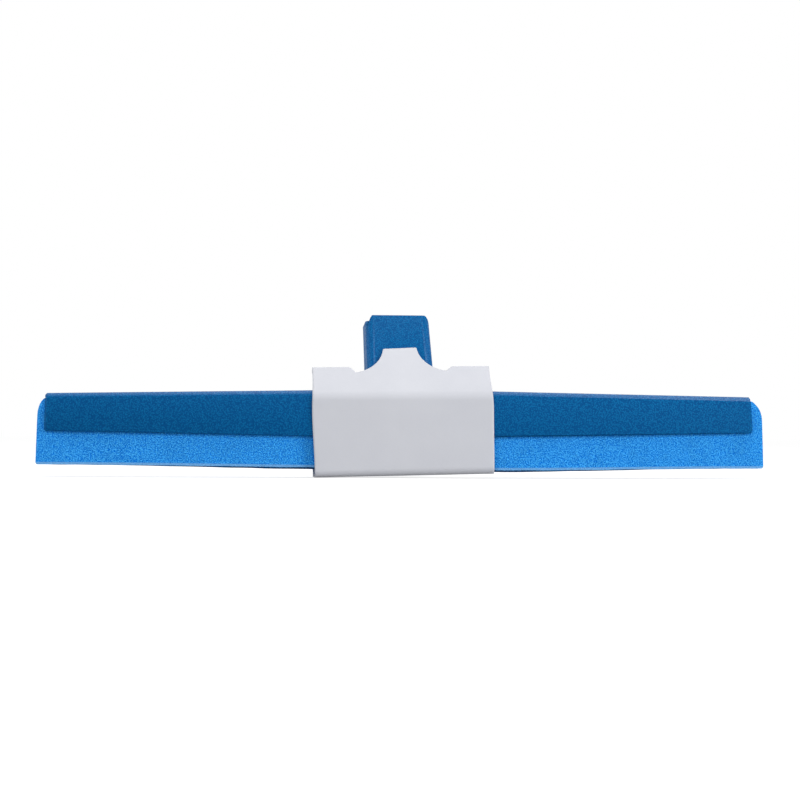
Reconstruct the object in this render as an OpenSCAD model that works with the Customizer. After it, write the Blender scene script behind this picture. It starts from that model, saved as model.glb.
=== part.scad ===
// Floor wiper head: two foam lips clamped between two moulded shells that also
// form the threaded handle socket, with a folded card sleeve round the middle.
// X runs along the blade, +Y points to the back, +Z up. The shapes are drawn from
// the blade (Z = 0 at the ends of the front lip's working edge, Y = 0 between the
// lips) and then moved so that the origin is at the mouth of the handle thread.

/* [Blade] */
// Length of the foam lips at the working edge
lip_len = 450; // [300:10:600]
// Thickness of one foam lip
lip_t = 6; // [4:0.5:8]
// Height of a lip from the working edge to its top
lip_h = 41; // [34:1:48]
// Length of lip that shows below the frame at its ends
lip_show = 19.8; // [14:0.1:24]
// Gap between the two lips, filled by the spacer strip
lip_gap = 4; // [3:0.5:6]
// Inward slope of the lip ends, in degrees
lip_flare = 2; // [0:0.5:4]
// Amount that the working edge of the front lip bows down in the middle
front_bow = 1.4; // [0.2:0.1:3]
// Amount that the working edge of the rear lip bows down in the middle
rear_bow = 2.8; // [0.2:0.1:3]
// Amount that the rear lip sits lower than the front one
rear_drop = 0.3; // [0:0.1:2]
// Distance that the lips sit to the right of the frame's middle
lip_shift = 1.3; // [-2:0.1:2]
// Height of the spacer strip
spacer_h = 18; // [10:1:20]

/* [Frame] */
// Length by which centred lips stand out past each end of the frame
end_show = 7; // [4:0.5:12]
// Thickness of the frame walls at their lower edge
wall = 2.8; // [2:0.1:4]
// Height of the frame at its ends
frame_h_end = 23.7; // [23.2:0.1:30]
// Height of the frame along its middle
frame_h_mid = 28.3; // [27:0.1:36]
// Amount that the frame's lower edge bows down in the middle, with the lips
frame_bow = 1.9; // [0.5:0.1:3]
// Length of the level middle of the frame
frame_mid_len = 110; // [80:5:160]
// Backward lean of the front and rear faces, in degrees
face_lean = 3; // [0:0.5:5]
// Bevel on the long top edges
top_bevel = 2.5; // [1.5:0.1:3.5]
// Bevel on the ends of the frame
end_bevel = 1.2; // [0.5:0.1:2]

/* [Handle socket] */
// Width of the socket at its mouth
socket_w = 40; // [36:0.1:50]
// Depth of the socket from front to back
socket_d = 30; // [29:0.5:38]
// Length of the socket's front face
socket_face = 60.5; // [45:0.1:80]
// Backward lean of the socket from upright, in degrees
socket_lean = 38; // [30:1:45]
// Outward taper of each side of the socket, in degrees
socket_draft = 0.9; // [0:0.1:2]
// Radius of the socket's long corners
socket_r = 5.3; // [3:0.1:8]
// Thickness of the socket's outer wall
socket_wall = 2.4; // [1.8:0.1:3]
// Slope of the mouth from square across the socket, in degrees
mouth_slant = 31; // [0:1:35]
// Distance that the rear shell's rim lies below the front shell's
mouth_step = 4.4; // [0:0.1:6]

/* [Handle thread] */
// Radius of the thread's crests, which the handle screws into
thread_r = 10.6; // [8.8:0.1:11]
// Depth of the thread groove
thread_depth = 1.3; // [0.8:0.1:1.6]
// Distance from one turn to the next
thread_pitch = 4; // [3:0.5:5]
// Depth of the threaded bore
thread_len = 48; // [30:2:50]
// Radius of the plain lead-in above the thread
lead_in_r = 12.2; // [12:0.1:13]
// Wall of the tube round the thread groove
tube_wall = 1.5; // [1:0.1:2]

/* [Screws] */
// Number of clamping screws on each side of the socket
screws_per_side = 3; // [2:1:4]
// Distance from the middle to the first screw
first_screw_x = 75; // [65:1:90]
// Distance from the end of centred lips to the last screw
last_screw_edge = 20; // [15:1:30]
// Radius of the screw's shank
shank_r = 1.5; // [1.2:0.1:2]
// Radius of the screw's head
head_r = 3.5; // [3:0.1:4]
// Height of the screw's head
head_h = 2; // [1.5:0.1:2.2]
// Radius of the boss that takes a screw
boss_r = 3.6; // [3:0.1:4.5]

/* [Card sleeve] */
// Width of the sleeve along the blade
card_w = 110; // [90:1:110]
// Thickness of the card
card_t = 0.5; // [0.3:0.1:0.8]
// Clearance between the card and the socket's face
card_gap = 0.4; // [0.3:0.1:1]
// Clearance between the card and the widest part of the frame
card_room = 1.5; // [1:0.1:3]
// Distance that the sleeve's bottom hangs below the lips' ends
card_drop = 7.4; // [6:0.1:10]
// Height of the top fold above the middle of the frame
fold_rise = 13.9; // [9:0.1:16]
// Radius of the sleeve's lower corners
card_r = 4; // [3:0.5:10]
// Clear width between the two back straps
strap_gap = 56.4; // [50:0.2:64]
// Width of the cut-out at the top fold
cutout_w = 63.6; // [58:0.2:70]
// Height of the tab above the fold line
tab_h = 14.9; // [8:0.1:20]
// Width of the tab at its top
tab_w = 19.2; // [12:0.2:24]

/* [Hidden] */

deep_blue = [0.07, 0.33, 0.55];
foam_blue = [0.13, 0.52, 0.86];
steel = [0.72, 0.74, 0.76];
bare_card = [0.9, 0.9, 0.88];

slice = 0.02;          // thickness of the slices that the tapered shapes span
past = 1;              // how far a cut runs past the face that it opens
groove = 0.5;          // depth of the V along the parting line
hole_room = 0.2;       // clearance of the lips' holes round the bosses
pilot_room = 0.1;      // clearance of a screw's shank in its boss
head_room = 0.4;       // clearance round a screw's head
lower_edge = 0.8;      // bevel on the lower edges of the frame walls

// Blade and frame
lips_y = lip_gap / 2 + lip_t;              // outer face of either lip
frame_y = lips_y + wall;                   // outer face of either shell at its foot
frame_len = lip_len - 2 * end_show;
frame_top_end = lip_show + frame_h_end;
frame_foot_mid = lip_show - frame_bow;
frame_top_mid = frame_foot_mid + frame_h_mid;
channel_top = lip_h;                       // the lips stand against the roof
big = lip_len;

// Bosses and screws
boss_z = (lip_show + channel_top) / 2;
last_screw_x = lip_len / 2 - last_screw_edge;
screw_step = (last_screw_x - first_screw_x) / (screws_per_side - 1);
screw_xs = [for (side = [-1, 1], i = [0 : screws_per_side - 1])
            side * (first_screw_x + i * screw_step)];
head_seat_y = lips_y + wall / 3;

// Socket: local z runs up its axis from the mouth of the thread, local y to the back
root_y = -(frame_y - face_lean_shift() - top_bevel * tan(socket_lean));
socket_y = root_y + socket_face * sin(socket_lean) + socket_d / 2 * cos(socket_lean);
socket_z = frame_top_mid + socket_face * cos(socket_lean)
           - socket_d / 2 * sin(socket_lean);
plug_t = 7.4;                          // solid end below the thread
rear_foot = thread_len + plug_t;       // how far the rear half runs below the thread's mouth
front_foot = socket_face + top_bevel;  // and the front half
socket_over = 40;                      // reaches past the slanting mouth
tube_r = thread_r + thread_depth + tube_wall;
groove_foot = 0.32 * thread_pitch;     // half width of the thread groove at the crests
groove_root = 0.14 * thread_pitch;     // and at its bottom
cheek_w = 5;                           // rear shell's cheek beside the mouth: its width
cheek_h = 17.8;                        // and how far it runs down the socket
cheek_gap = 0.8;                       // open line between cheek and front shell
corner_r = 5.5;                        // rounding of the front shell's other corner
rib_t = 4;                             // web under the socket

// Card sleeve, in the Y-Z plane
half_t = card_t / 2;
bend_room = 0.5;                       // spare room where the card passes the frame's edge
bend_r = 4.5;                          // radius of the bend over the frame's edge
shoulder_r = 8;                        // radius of the bend behind the frame
shoulder_drop = 1.5;                   // how far that bend starts below the frame's top
fold_r = 0.3;                          // inner radius of the top fold
card_front_y = frame_y + card_room + half_t;
lean_start = [root_y, frame_top_mid]
             + (card_gap + half_t) * [-cos(socket_lean), sin(socket_lean)];
fold_up = fold_rise / cos(socket_lean);
fold_at = lean_start + fold_up * [sin(socket_lean), cos(socket_lean)];
bend_y = -(frame_y - face_lean_shift() + card_gap + card_t + bend_room);
bend_at = [bend_y, lean_start.y + (bend_y - lean_start.x) / tan(socket_lean)];
shoulder_at = [card_front_y, frame_top_mid - shoulder_drop];
card_low = half_t - card_drop;
window_foot = 14;                      // lower edge of the opening at the back
panel_cut = 6;                         // depth of the cut-out below the fold line
panel_past = 4;                        // how far its cut runs past the card
notch_w = strap_gap / 2;
notch_drop = 4.1;                      // depth of the notches beside the tab
tab_side = 29.8;                       // radius of the tab's hollow sides
tip_w = 2;                             // width of the rounding at the tab's corners
tip_drop = 1.3;                        // height of that rounding

// How far a face has moved in at the height where its top bevel starts
function face_lean_shift() = (frame_h_mid - top_bevel) * tan(face_lean);

function unit(v) = v / norm(v);

// The same turn, brought between -180 and 180 degrees
function half_turn(a) = ((a + 540) % 360) - 180;

// Points of the arc that rounds the corner b between a and c
function corner(a, b, c, r, n = 8) =
    let (u = unit(a - b), v = unit(c - b), half = acos(u * v) / 2,
         o = b + unit(u + v) * r / sin(half),
         p = b + u * r / tan(half) - o, q = b + v * r / tan(half) - o,
         start = atan2(p.y, p.x), turn = half_turn(atan2(q.y, q.x) - start))
    [for (i = [0 : n]) o + r * [cos(start + turn * i / n), sin(start + turn * i / n)]];

// Everything is drawn from the blade, and this brings the thread's mouth to the origin
module place() { translate([0, -socket_y, -socket_z]) children(); }

module in_socket() {
    translate([0, socket_y, socket_z]) rotate([-socket_lean, 0, 0]) children();
}

// A Y-Z outline carried along X, centred
module along_x(length) {
    rotate([90, 0, 90]) linear_extrude(length, center = true) children();
}

// An X-Z outline carried along Y, centred
module along_y(length) {
    rotate([90, 0, 0]) linear_extrude(length, center = true) children();
}

// Front half of the frame's section in Y-Z
module half_section(foot, top, inset = 0) {
    y_foot = frame_y - inset;
    y_top = y_foot - (top - foot - top_bevel) * tan(face_lean);
    polygon([[0, foot + inset], [-y_foot + lower_edge, foot + inset],
             [-y_foot, foot + inset + lower_edge], [-y_top, top - inset - top_bevel],
             [-y_top + top_bevel, top - inset], [0, top - inset]]);
}

// Outer form of the front half of the frame
module half_frame() {
    along_x(frame_mid_len) half_section(frame_foot_mid, frame_top_mid);
    for (side = [0, 1]) mirror([side, 0, 0]) hull() {
        translate([frame_mid_len / 2, 0, 0])
            along_x(slice) half_section(frame_foot_mid, frame_top_mid);
        translate([frame_len / 2 - end_bevel, 0, 0])
            along_x(slice) half_section(lip_show, frame_top_end);
        translate([frame_len / 2 - slice / 2, 0, 0])
            along_x(slice) half_section(lip_show, frame_top_end, end_bevel);
    }
}

// V-groove along the parting line of the frame's roof
module roof_groove() {
    fall = frame_top_mid - frame_top_end;
    run = (frame_len - frame_mid_len) / 2;
    for (side = [0, 1]) mirror([side, 0, 0])
        translate([frame_mid_len / 2, 0, frame_top_mid]) rotate([0, atan2(fall, run), 0])
            rotate([45, 0, 0]) translate([0, -groove, -groove])
                cube([run + 2 * past, 2 * groove, 2 * groove]);
}

module channel() {
    translate([-big, -lips_y, -past]) cube([2 * big, 2 * lips_y, channel_top + past]);
}

module socket_slice(z) {
    w = socket_w - 2 * z * tan(socket_draft);
    translate([0, 0, z]) linear_extrude(slice) union() {
        square([w - 2 * socket_r, socket_d], center = true);
        square([w, socket_d - 2 * socket_r], center = true);
        for (sx = [-1, 1], sy = [-1, 1])
            translate([sx * (w / 2 - socket_r), sy * (socket_d / 2 - socket_r)])
                circle(socket_r, $fn = 32);
    }
}

// Outer form of the whole socket from foot below the thread's mouth, cut off at its
// slanting mouth, which may be lowered
module socket_block(foot, lowered = 0) {
    difference() {
        hull() {
            socket_slice(-foot);
            socket_slice(socket_over);
        }
        translate([0, -socket_d / 2, -lowered]) rotate([mouth_slant, 0, 0])
            translate([-big / 2, -big / 2, 0]) cube(big);
    }
}

// Threaded bore, its lead-in and the two hollows beside the tube;
// turn is 1 for the front half and -1 for the rear half of each turn
module socket_hollows(turn) {
    translate([0, 0, -thread_len]) cylinder(thread_len + past, r = thread_r, $fn = 96);
    cylinder(socket_over, r = lead_in_r, $fn = 96);
    difference() {
        translate([-socket_w / 2 + socket_wall, -socket_d / 2 + socket_wall, -thread_len])
            cube([socket_w - 2 * socket_wall, socket_d - 2 * socket_wall,
                  thread_len + socket_over]);
        translate([0, 0, -thread_len - past])
            cylinder(thread_len + socket_over + 2 * past, r = tube_r, $fn = 96);
    }
    tilt = asin(thread_pitch / 4 / thread_r);
    turns = floor((thread_len - thread_pitch) / thread_pitch);
    for (i = [1 : turns])
        translate([0, 0, -i * thread_pitch]) rotate([0, turn * tilt, 0])
            rotate_extrude($fn = 96) polygon([
                [thread_r - past, -groove_foot], [thread_r, -groove_foot],
                [thread_r + thread_depth, -groove_root],
                [thread_r + thread_depth, groove_root],
                [thread_r, groove_foot], [thread_r - past, groove_foot]]);
}

// Half space in front of the socket's parting plane (side = -1) or behind it (side = 1)
module socket_half(side) {
    translate([-big / 2, side > 0 ? 0 : -big / 2, -big / 2]) cube([big, big / 2, big]);
}

// What lies outside an elliptic corner at the top of the front face's right side
module past_corner(width, height) {
    inner = socket_w / 2 - width;
    low = -height;
    curve = [for (a = [0 : 10 : 90])
             [inner + width * cos(a), low + (past - low) * sin(a)]];
    along_y(socket_d) polygon(concat(
        [[socket_w / 2 + 2 * past, low]], curve,
        [[inner, socket_over], [socket_w / 2 + 2 * past, socket_over]]));
}

// The rear shell's cheek left of the mouth, which takes that corner of the front shell
module cheek(room = 0) {
    translate([0, room - socket_d / 2, 0]) mirror([1, 0, 0])
        past_corner(cheek_w + room, cheek_h + room);
}

// Cut that rounds the front shell's right corner, along the slanting mouth
module right_corner() {
    translate([0, -socket_d / 2, 0]) rotate([mouth_slant, 0, 0])
        past_corner(corner_r, corner_r);
}

// V-groove along both sides of the socket's parting plane
module side_grooves() {
    for (side = [-1, 1])
        translate([side * (socket_w / 2 + rear_foot / 2 * tan(socket_draft)), 0,
                   -rear_foot / 2 - cheek_h])
            rotate([0, -side * socket_draft, 0]) rotate([0, 0, 45])
                cube([2 * groove, 2 * groove, rear_foot], center = true);
}

// Bars or holes across the blade at every screw
module at_screws() {
    for (x = screw_xs) translate([x, 0, boss_z]) rotate([-90, 0, 0]) children();
}

module front_shell() {
    color(deep_blue) place() difference() {
        union() {
            difference() {
                half_frame();
                channel();
            }
            difference() {
                in_socket() intersection() {
                    socket_block(front_foot);
                    socket_half(-1);
                }
                translate([-big / 2, 0, -past]) cube([big, big, frame_top_mid + past]);
                channel();
            }
            at_screws() translate([0, 0, -lips_y - past])
                cylinder(2 * lips_y + past, r = boss_r, $fn = 48);
        }
        at_screws() translate([0, 0, -lips_y + past])
            cylinder(2 * lips_y, r = shank_r + pilot_room, $fn = 32);
        in_socket() {
            intersection() {
                socket_hollows(1);
                socket_half(-1);
            }
            cheek(cheek_gap);
            right_corner();
            side_grooves();
        }
        roof_groove();
    }
}

module rear_shell() {
    color(deep_blue) place() difference() {
        union() {
            difference() {
                mirror([0, 1, 0]) half_frame();
                channel();
            }
            in_socket() intersection() {
                socket_block(rear_foot, mouth_step);
                union() {
                    socket_half(1);
                    cheek();
                }
            }
            // Web between the socket's foot and the rear wall
            along_x(rib_t) polygon([
                [frame_y - wall / 2, lip_show], [frame_y - wall / 2, frame_top_mid - top_bevel],
                [socket_y - (rear_foot - past) * sin(socket_lean)
                     + (socket_d / 2 - past) * cos(socket_lean),
                 socket_z - (rear_foot - past) * cos(socket_lean)
                     - (socket_d / 2 - past) * sin(socket_lean)]]);
        }
        channel();
        at_screws() {
            cylinder(frame_y + past, r = shank_r + pilot_room, $fn = 32);
            translate([0, 0, head_seat_y]) cylinder(frame_y, r = head_r + head_room, $fn = 48);
        }
        in_socket() {
            socket_hollows(-1);
            side_grooves();
        }
        roof_groove();
    }
}

// Outline of a lip in X-Z: level top with drawn-in corners, bowed working edge
module lip_outline(foot, bow) {
    half = lip_len / 2;
    lean_in = lip_h * tan(lip_flare);
    round_w = 6;     // the drawn-in upper corners
    round_h = 11;
    toe = 1.5;       // radius of the lower corners
    steps = 24;
    right = concat(
        corner([0, foot], [half, foot], [half - lean_in, lip_h], toe, 4),
        [for (a = [0 : 9 : 90]) [half - lean_in - round_w * (1 - cos(a)),
                                 lip_h - round_h * (1 - sin(a))]]);
    edge = [for (i = [1 : steps - 1]) let (x = -half + toe + i * (lip_len - 2 * toe) / steps)
            [x, foot - bow * (1 + cos(180 * x / half)) / 2]];
    polygon(concat(edge, right, [for (i = [len(right) - 1 : -1 : 0])
                                 [-right[i].x, right[i].y]]));
}

module lip(mid_y, foot, bow) {
    difference() {
        translate([lip_shift, mid_y, 0]) along_y(lip_t) lip_outline(foot, bow);
        at_screws() translate([0, 0, -big / 2])
            cylinder(big, r = boss_r + hole_room, $fn = 48);
    }
}

module front_lip() {
    color(foam_blue) place() lip(-(lip_gap + lip_t) / 2, 0, front_bow);
}

module rear_lip() {
    color(foam_blue) place() lip((lip_gap + lip_t) / 2, -rear_drop, rear_bow);
}

module spacer_strip() {
    color(deep_blue) place() difference() {
        translate([-frame_len / 2, -lip_gap / 2, channel_top - spacer_h])
            cube([frame_len, lip_gap, spacer_h]);
        at_screws() translate([0, 0, -big / 2])
            cylinder(big, r = boss_r + hole_room, $fn = 48);
    }
}

// Self-tapping pan-head screw, head up, seated at z = 0
module screw() {
    shank = head_seat_y + lips_y - 2 * past;
    point_r = 0.3 * shank_r;
    rim_h = 0.4 * head_h;
    recess_z = 0.35 * head_h;
    recess_w = head_r / 4;
    difference() {
        rotate_extrude($fn = 48) polygon(concat(
            [[0, -shank], [point_r, -shank], [shank_r, -shank + 2 * shank_r],
             [shank_r, 0], [head_r, 0], [head_r, rim_h]],
            [for (a = [15 : 15 : 90])
                [head_r * cos(a), rim_h + (head_h - rim_h) * sin(a)]]));
        for (turn = [0, 90]) rotate([0, 0, turn])
            translate([-head_r / 2, -recess_w / 2, recess_z])
                cube([head_r, recess_w, head_h]);
    }
}

module clamp_screws() {
    color(steel) place() at_screws() translate([0, 0, head_seat_y]) screw();
}

// Points of the card's middle line, counter-clockwise from the lower back
function card_line() = concat(
    corner([-card_front_y, card_low], [card_front_y, card_low], shoulder_at, card_r),
    corner([card_front_y, card_low], shoulder_at, fold_at, shoulder_r),
    corner(shoulder_at, fold_at, bend_at, half_t + fold_r),
    corner(fold_at, bend_at, [-card_front_y, card_low], bend_r),
    corner(bend_at, [-card_front_y, card_low], [card_front_y, card_low], card_r));

// A closed line moved outwards by d
function moved(line, d) = let (n = len(line)) [for (i = [0 : n - 1])
    let (t = unit(line[(i + 1) % n] - line[(i + n - 1) % n]))
    line[i] + d * [t.y, -t.x]];

// Outline of the crown in the plane of the leaning panel, z = 0 on the fold line
module crown_outline() {
    steps = 10;
    tip = [tab_w / 2 + tip_w, tab_h - tip_drop];
    low = [notch_w, -notch_drop];
    chord = tip - low;
    reach = sqrt(pow(tab_side, 2) - pow(norm(chord) / 2, 2));
    middle = (tip + low) / 2 + unit([chord.y, -chord.x]) * reach;
    start = atan2(low.y - middle.y, low.x - middle.x);
    turn = half_turn(atan2(tip.y - middle.y, tip.x - middle.x) - start);
    right = concat(
        [[cutout_w / 2, -panel_cut], [cutout_w / 2, 0]],
        [for (i = [0 : steps]) let (a = start + turn * i / steps)
            middle + tab_side * [cos(a), sin(a)]],
        [[(tab_w + tip_w) / 2, tab_h - tip_drop / 4], [tab_w / 2, tab_h]]);
    polygon(concat(right, [for (i = [len(right) - 1 : -1 : 0])
                           [-right[i].x, right[i].y]]));
}

module in_panel() {
    translate([0, fold_at.x, fold_at.y]) rotate([-socket_lean, 0, 0]) children();
}

module card_sleeve() {
    line = card_line();
    color(bare_card) place() {
        difference() {
            along_x(card_w) difference() {
                polygon(moved(line, half_t));
                polygon(moved(line, -half_t));
            }
            // The socket comes out through the back of the sleeve
            along_x(strap_gap) polygon([
                [0, fold_at.y + 2 * past], [0, window_foot],
                [card_front_y + 2 * past, window_foot],
                [card_front_y + 2 * past, fold_at.y + 2 * past]]);
            in_panel() translate([-cutout_w / 2, -panel_past / 2, -panel_cut])
                cube([cutout_w, card_t + panel_past, panel_cut + panel_past]);
        }
        in_panel() along_y(card_t) crown_outline();
    }
}

front_shell();
rear_shell();
front_lip();
rear_lip();
spacer_strip();
clamp_screws();
card_sleeve();
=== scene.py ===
"""Floor wiper head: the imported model's pieces, dressed and finished for rendering.

The frame gives every size and place in metres. Each sub-assembly below is a class
that builds its meshes with bmesh operators, dresses them with a finish and rides
them on the body of the piece that they stand for.
"""
import logging
import math
from dataclasses import dataclass, field
from enum import Enum

import bmesh
import bpy
from mathutils import Matrix, Vector, noise


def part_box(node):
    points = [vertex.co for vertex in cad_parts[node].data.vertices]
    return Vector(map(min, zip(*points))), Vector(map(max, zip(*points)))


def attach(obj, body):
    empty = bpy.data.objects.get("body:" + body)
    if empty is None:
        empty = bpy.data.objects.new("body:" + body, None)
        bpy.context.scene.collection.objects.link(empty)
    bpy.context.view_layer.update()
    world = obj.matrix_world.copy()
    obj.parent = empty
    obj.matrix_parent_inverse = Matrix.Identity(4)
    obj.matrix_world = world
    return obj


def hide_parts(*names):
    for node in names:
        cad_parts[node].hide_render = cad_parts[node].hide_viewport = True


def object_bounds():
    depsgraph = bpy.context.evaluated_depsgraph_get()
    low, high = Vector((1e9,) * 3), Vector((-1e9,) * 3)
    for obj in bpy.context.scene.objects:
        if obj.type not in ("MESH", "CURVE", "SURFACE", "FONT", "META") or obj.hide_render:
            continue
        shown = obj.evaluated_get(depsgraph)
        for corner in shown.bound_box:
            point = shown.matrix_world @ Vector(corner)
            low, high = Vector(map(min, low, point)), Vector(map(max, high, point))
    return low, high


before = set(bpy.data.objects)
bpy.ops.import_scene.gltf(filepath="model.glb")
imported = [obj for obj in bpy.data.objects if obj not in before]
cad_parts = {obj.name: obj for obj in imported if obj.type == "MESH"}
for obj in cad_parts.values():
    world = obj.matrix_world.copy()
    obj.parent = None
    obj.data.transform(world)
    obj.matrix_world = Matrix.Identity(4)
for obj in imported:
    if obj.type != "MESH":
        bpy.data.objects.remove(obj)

log = logging.getLogger("wiper_head")

CAD_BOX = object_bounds()
MM = 0.001
LIP_HEIGHT = 41 * MM
Colour = tuple[float, float, float]
BLACK: Colour = (0.0, 0.0, 0.0)


class Body(Enum):
    """The bodies that pieces ride on."""

    HEAD = "head"
    SLEEVE = "sleeve"


class Slot(Enum):
    """Names of three material slots; no piece here is given one."""

    SHELL = "shell"
    FOAM = "foam"
    CARD = "card"


# ---------------------------------------------------------------- blade frame


@dataclass(frozen=True)
class BladeFrame:
    """Turns places drawn from the blade into the part's own frame.

    The blade's frame has Z = 0 at the ends of the front lip's working edge and
    Y = 0 midway between the lips.
    """

    y: float
    z: float

    @classmethod
    def measured(cls) -> "BladeFrame":
        """Reads the blade's place from the two lips' boxes.

        Returns:
            The frame whose Y = 0 lies midway between the lips and whose Z = 0 lies
            one lip height below the lips' top edge.
        """
        front_low, front_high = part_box("front_lip")
        rear_low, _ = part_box("rear_lip")
        return cls(y=(front_high.y + rear_low.y) / 2, z=front_high.z - LIP_HEIGHT)

    def point(self, x: float, y: float, z: float) -> Vector:
        """A place drawn from the blade, in the part's frame."""
        return Vector((x, y + self.y, z + self.z))


BLADE = BladeFrame.measured()


# ---------------------------------------------------------------- small helpers


def ease(value: float, low: float, high: float) -> float:
    """A smooth step from 0 at low to 1 at high.

    Args:
        value: The place along the step.
        low: Where the step starts.
        high: Where the step ends; it may be below low.

    Returns:
        The height of the step, from 0 to 1.
    """
    t = min(1.0, max(0.0, (value - low) / (high - low)))
    return t * t * (3 - 2 * t)


def spread(low: float, high: float, count: int) -> list[float]:
    """Evenly spaced values from low to high, both included."""
    return [low + (high - low) * i / (count - 1) for i in range(count)]


def arc_points(before: Vector, corner: Vector, after: Vector, radius: float,
               steps: int) -> list[Vector]:
    """Points of the arc that rounds a corner.

    Args:
        before: The point ahead of the corner, as (y, z).
        corner: The corner to be rounded.
        after: The point past the corner.
        radius: The arc's radius.
        steps: The number of segments along the arc.

    Returns:
        The points, from the side of before to the side of after.
    """
    u = (before - corner).normalized()
    v = (after - corner).normalized()
    half = u.angle(v) / 2
    centre = corner + (u + v).normalized() * (radius / math.sin(half))
    first = corner + u * (radius / math.tan(half)) - centre
    last = corner + v * (radius / math.tan(half)) - centre
    turn = math.atan2(first.x * last.y - first.y * last.x, first.dot(last))
    return [centre + Matrix.Rotation(turn * i / steps, 2) @ first
            for i in range(steps + 1)]


def finished(name: str, bm: bmesh.types.BMesh, angle: float = 35.0) -> bpy.types.Object:
    """Makes a smooth shaded object from a bmesh.

    Args:
        name: The piece's name.
        bm: The mesh, in the part's frame; it is freed.
        angle: Edges sharper than this, in degrees, stay sharp.

    Returns:
        The new object, at the origin.
    """
    mesh = bpy.data.meshes.new(name)
    bm.to_mesh(mesh)
    bm.free()
    mesh.polygons.foreach_set("use_smooth", [True] * len(mesh.polygons))
    mesh.set_sharp_from_angle(angle=math.radians(angle))
    piece = bpy.data.objects.new(name, mesh)
    bpy.context.scene.collection.objects.link(piece)
    return piece


def fit(piece: bpy.types.Object, node: str, body: Body,
        material: bpy.types.Material) -> None:
    """Rides a piece on its body in place of a node, and dresses it.

    Args:
        piece: The finished piece.
        node: The node that it stands for.
        body: The body that carries it.
        material: The finish.
    """
    piece.data.materials.clear()
    piece.data.materials.append(material)
    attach(piece, body.value)
    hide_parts(node)


# ---------------------------------------------------------------- node groups


class NodeTree:
    """A shader node tree under construction."""

    def __init__(self, tree: bpy.types.NodeTree) -> None:
        """Takes the tree to build in."""
        self.tree = tree

    def node(self, kind: str, **settings: object) -> bpy.types.Node:
        """Adds a node.

        Args:
            kind: The node's type.
            settings: Its properties' values.

        Returns:
            The node.
        """
        made = self.tree.nodes.new(kind)
        for key, value in settings.items():
            setattr(made, key, value)
        return made

    def join(self, start: bpy.types.NodeSocket, end: bpy.types.NodeSocket) -> None:
        """Links two sockets."""
        self.tree.links.new(start, end)

    def maths(self, operation: str, first: bpy.types.NodeSocket | float,
              second: bpy.types.NodeSocket | float = 0.0) -> bpy.types.NodeSocket:
        """Adds a Math node.

        Args:
            operation: The Math node's operation.
            first: A socket or a number.
            second: A socket or a number.

        Returns:
            The node's output.
        """
        made = self.node("ShaderNodeMath", operation=operation)
        for value, end in zip((first, second), made.inputs):
            if isinstance(value, (int, float)):
                end.default_value = value
            else:
                self.join(value, end)
        return made.outputs[0]

    def ramp(self, mask: bpy.types.NodeSocket, low: float, high: float,
             start: float = 0.0, end: float = 1.0) -> bpy.types.NodeSocket:
        """Maps a mask to a range of values.

        Args:
            mask: The mask's socket.
            low: The value where the mask is start.
            high: The value where the mask is end.
            start: The mask's lower end.
            end: The mask's upper end.

        Returns:
            The value's socket.
        """
        made = self.node("ShaderNodeMapRange")
        made.inputs["From Min"].default_value = start
        made.inputs["From Max"].default_value = end
        made.inputs["To Min"].default_value = low
        made.inputs["To Max"].default_value = high
        self.join(mask, made.inputs["Value"])
        return made.outputs["Result"]

    def seen_directly(self) -> bpy.types.NodeSocket:
        """Adds a mask that is 1 for camera, glossy and transmission rays, else 0.

        Returns:
            The mask's socket.
        """
        path = self.node("ShaderNodeLightPath")
        total = path.outputs["Is Camera Ray"]
        for label in ("Is Glossy Ray", "Is Transmission Ray"):
            total = self.maths("MAXIMUM", total, path.outputs[label])
        return total


class PatternGroup(NodeTree):
    """A shader node group with named inputs and outputs, built once."""

    def __init__(self, name: str, inputs: dict[str, float | None],
                 outputs: tuple[str, ...]) -> None:
        """Makes the empty group.

        Args:
            name: The group's name.
            inputs: Each input's default; None makes it a vector.
            outputs: The names of the value outputs.
        """
        super().__init__(bpy.data.node_groups.new(name, "ShaderNodeTree"))
        face = self.tree.interface
        for label, default in inputs.items():
            kind = "NodeSocketVector" if default is None else "NodeSocketFloat"
            made = face.new_socket(label, in_out="INPUT", socket_type=kind)
            if default is not None:
                made.default_value = default
        for label in outputs:
            face.new_socket(label, in_out="OUTPUT", socket_type="NodeSocketFloat")
        self.source = self.node("NodeGroupInput")
        self.result = self.node("NodeGroupOutput")


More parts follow.
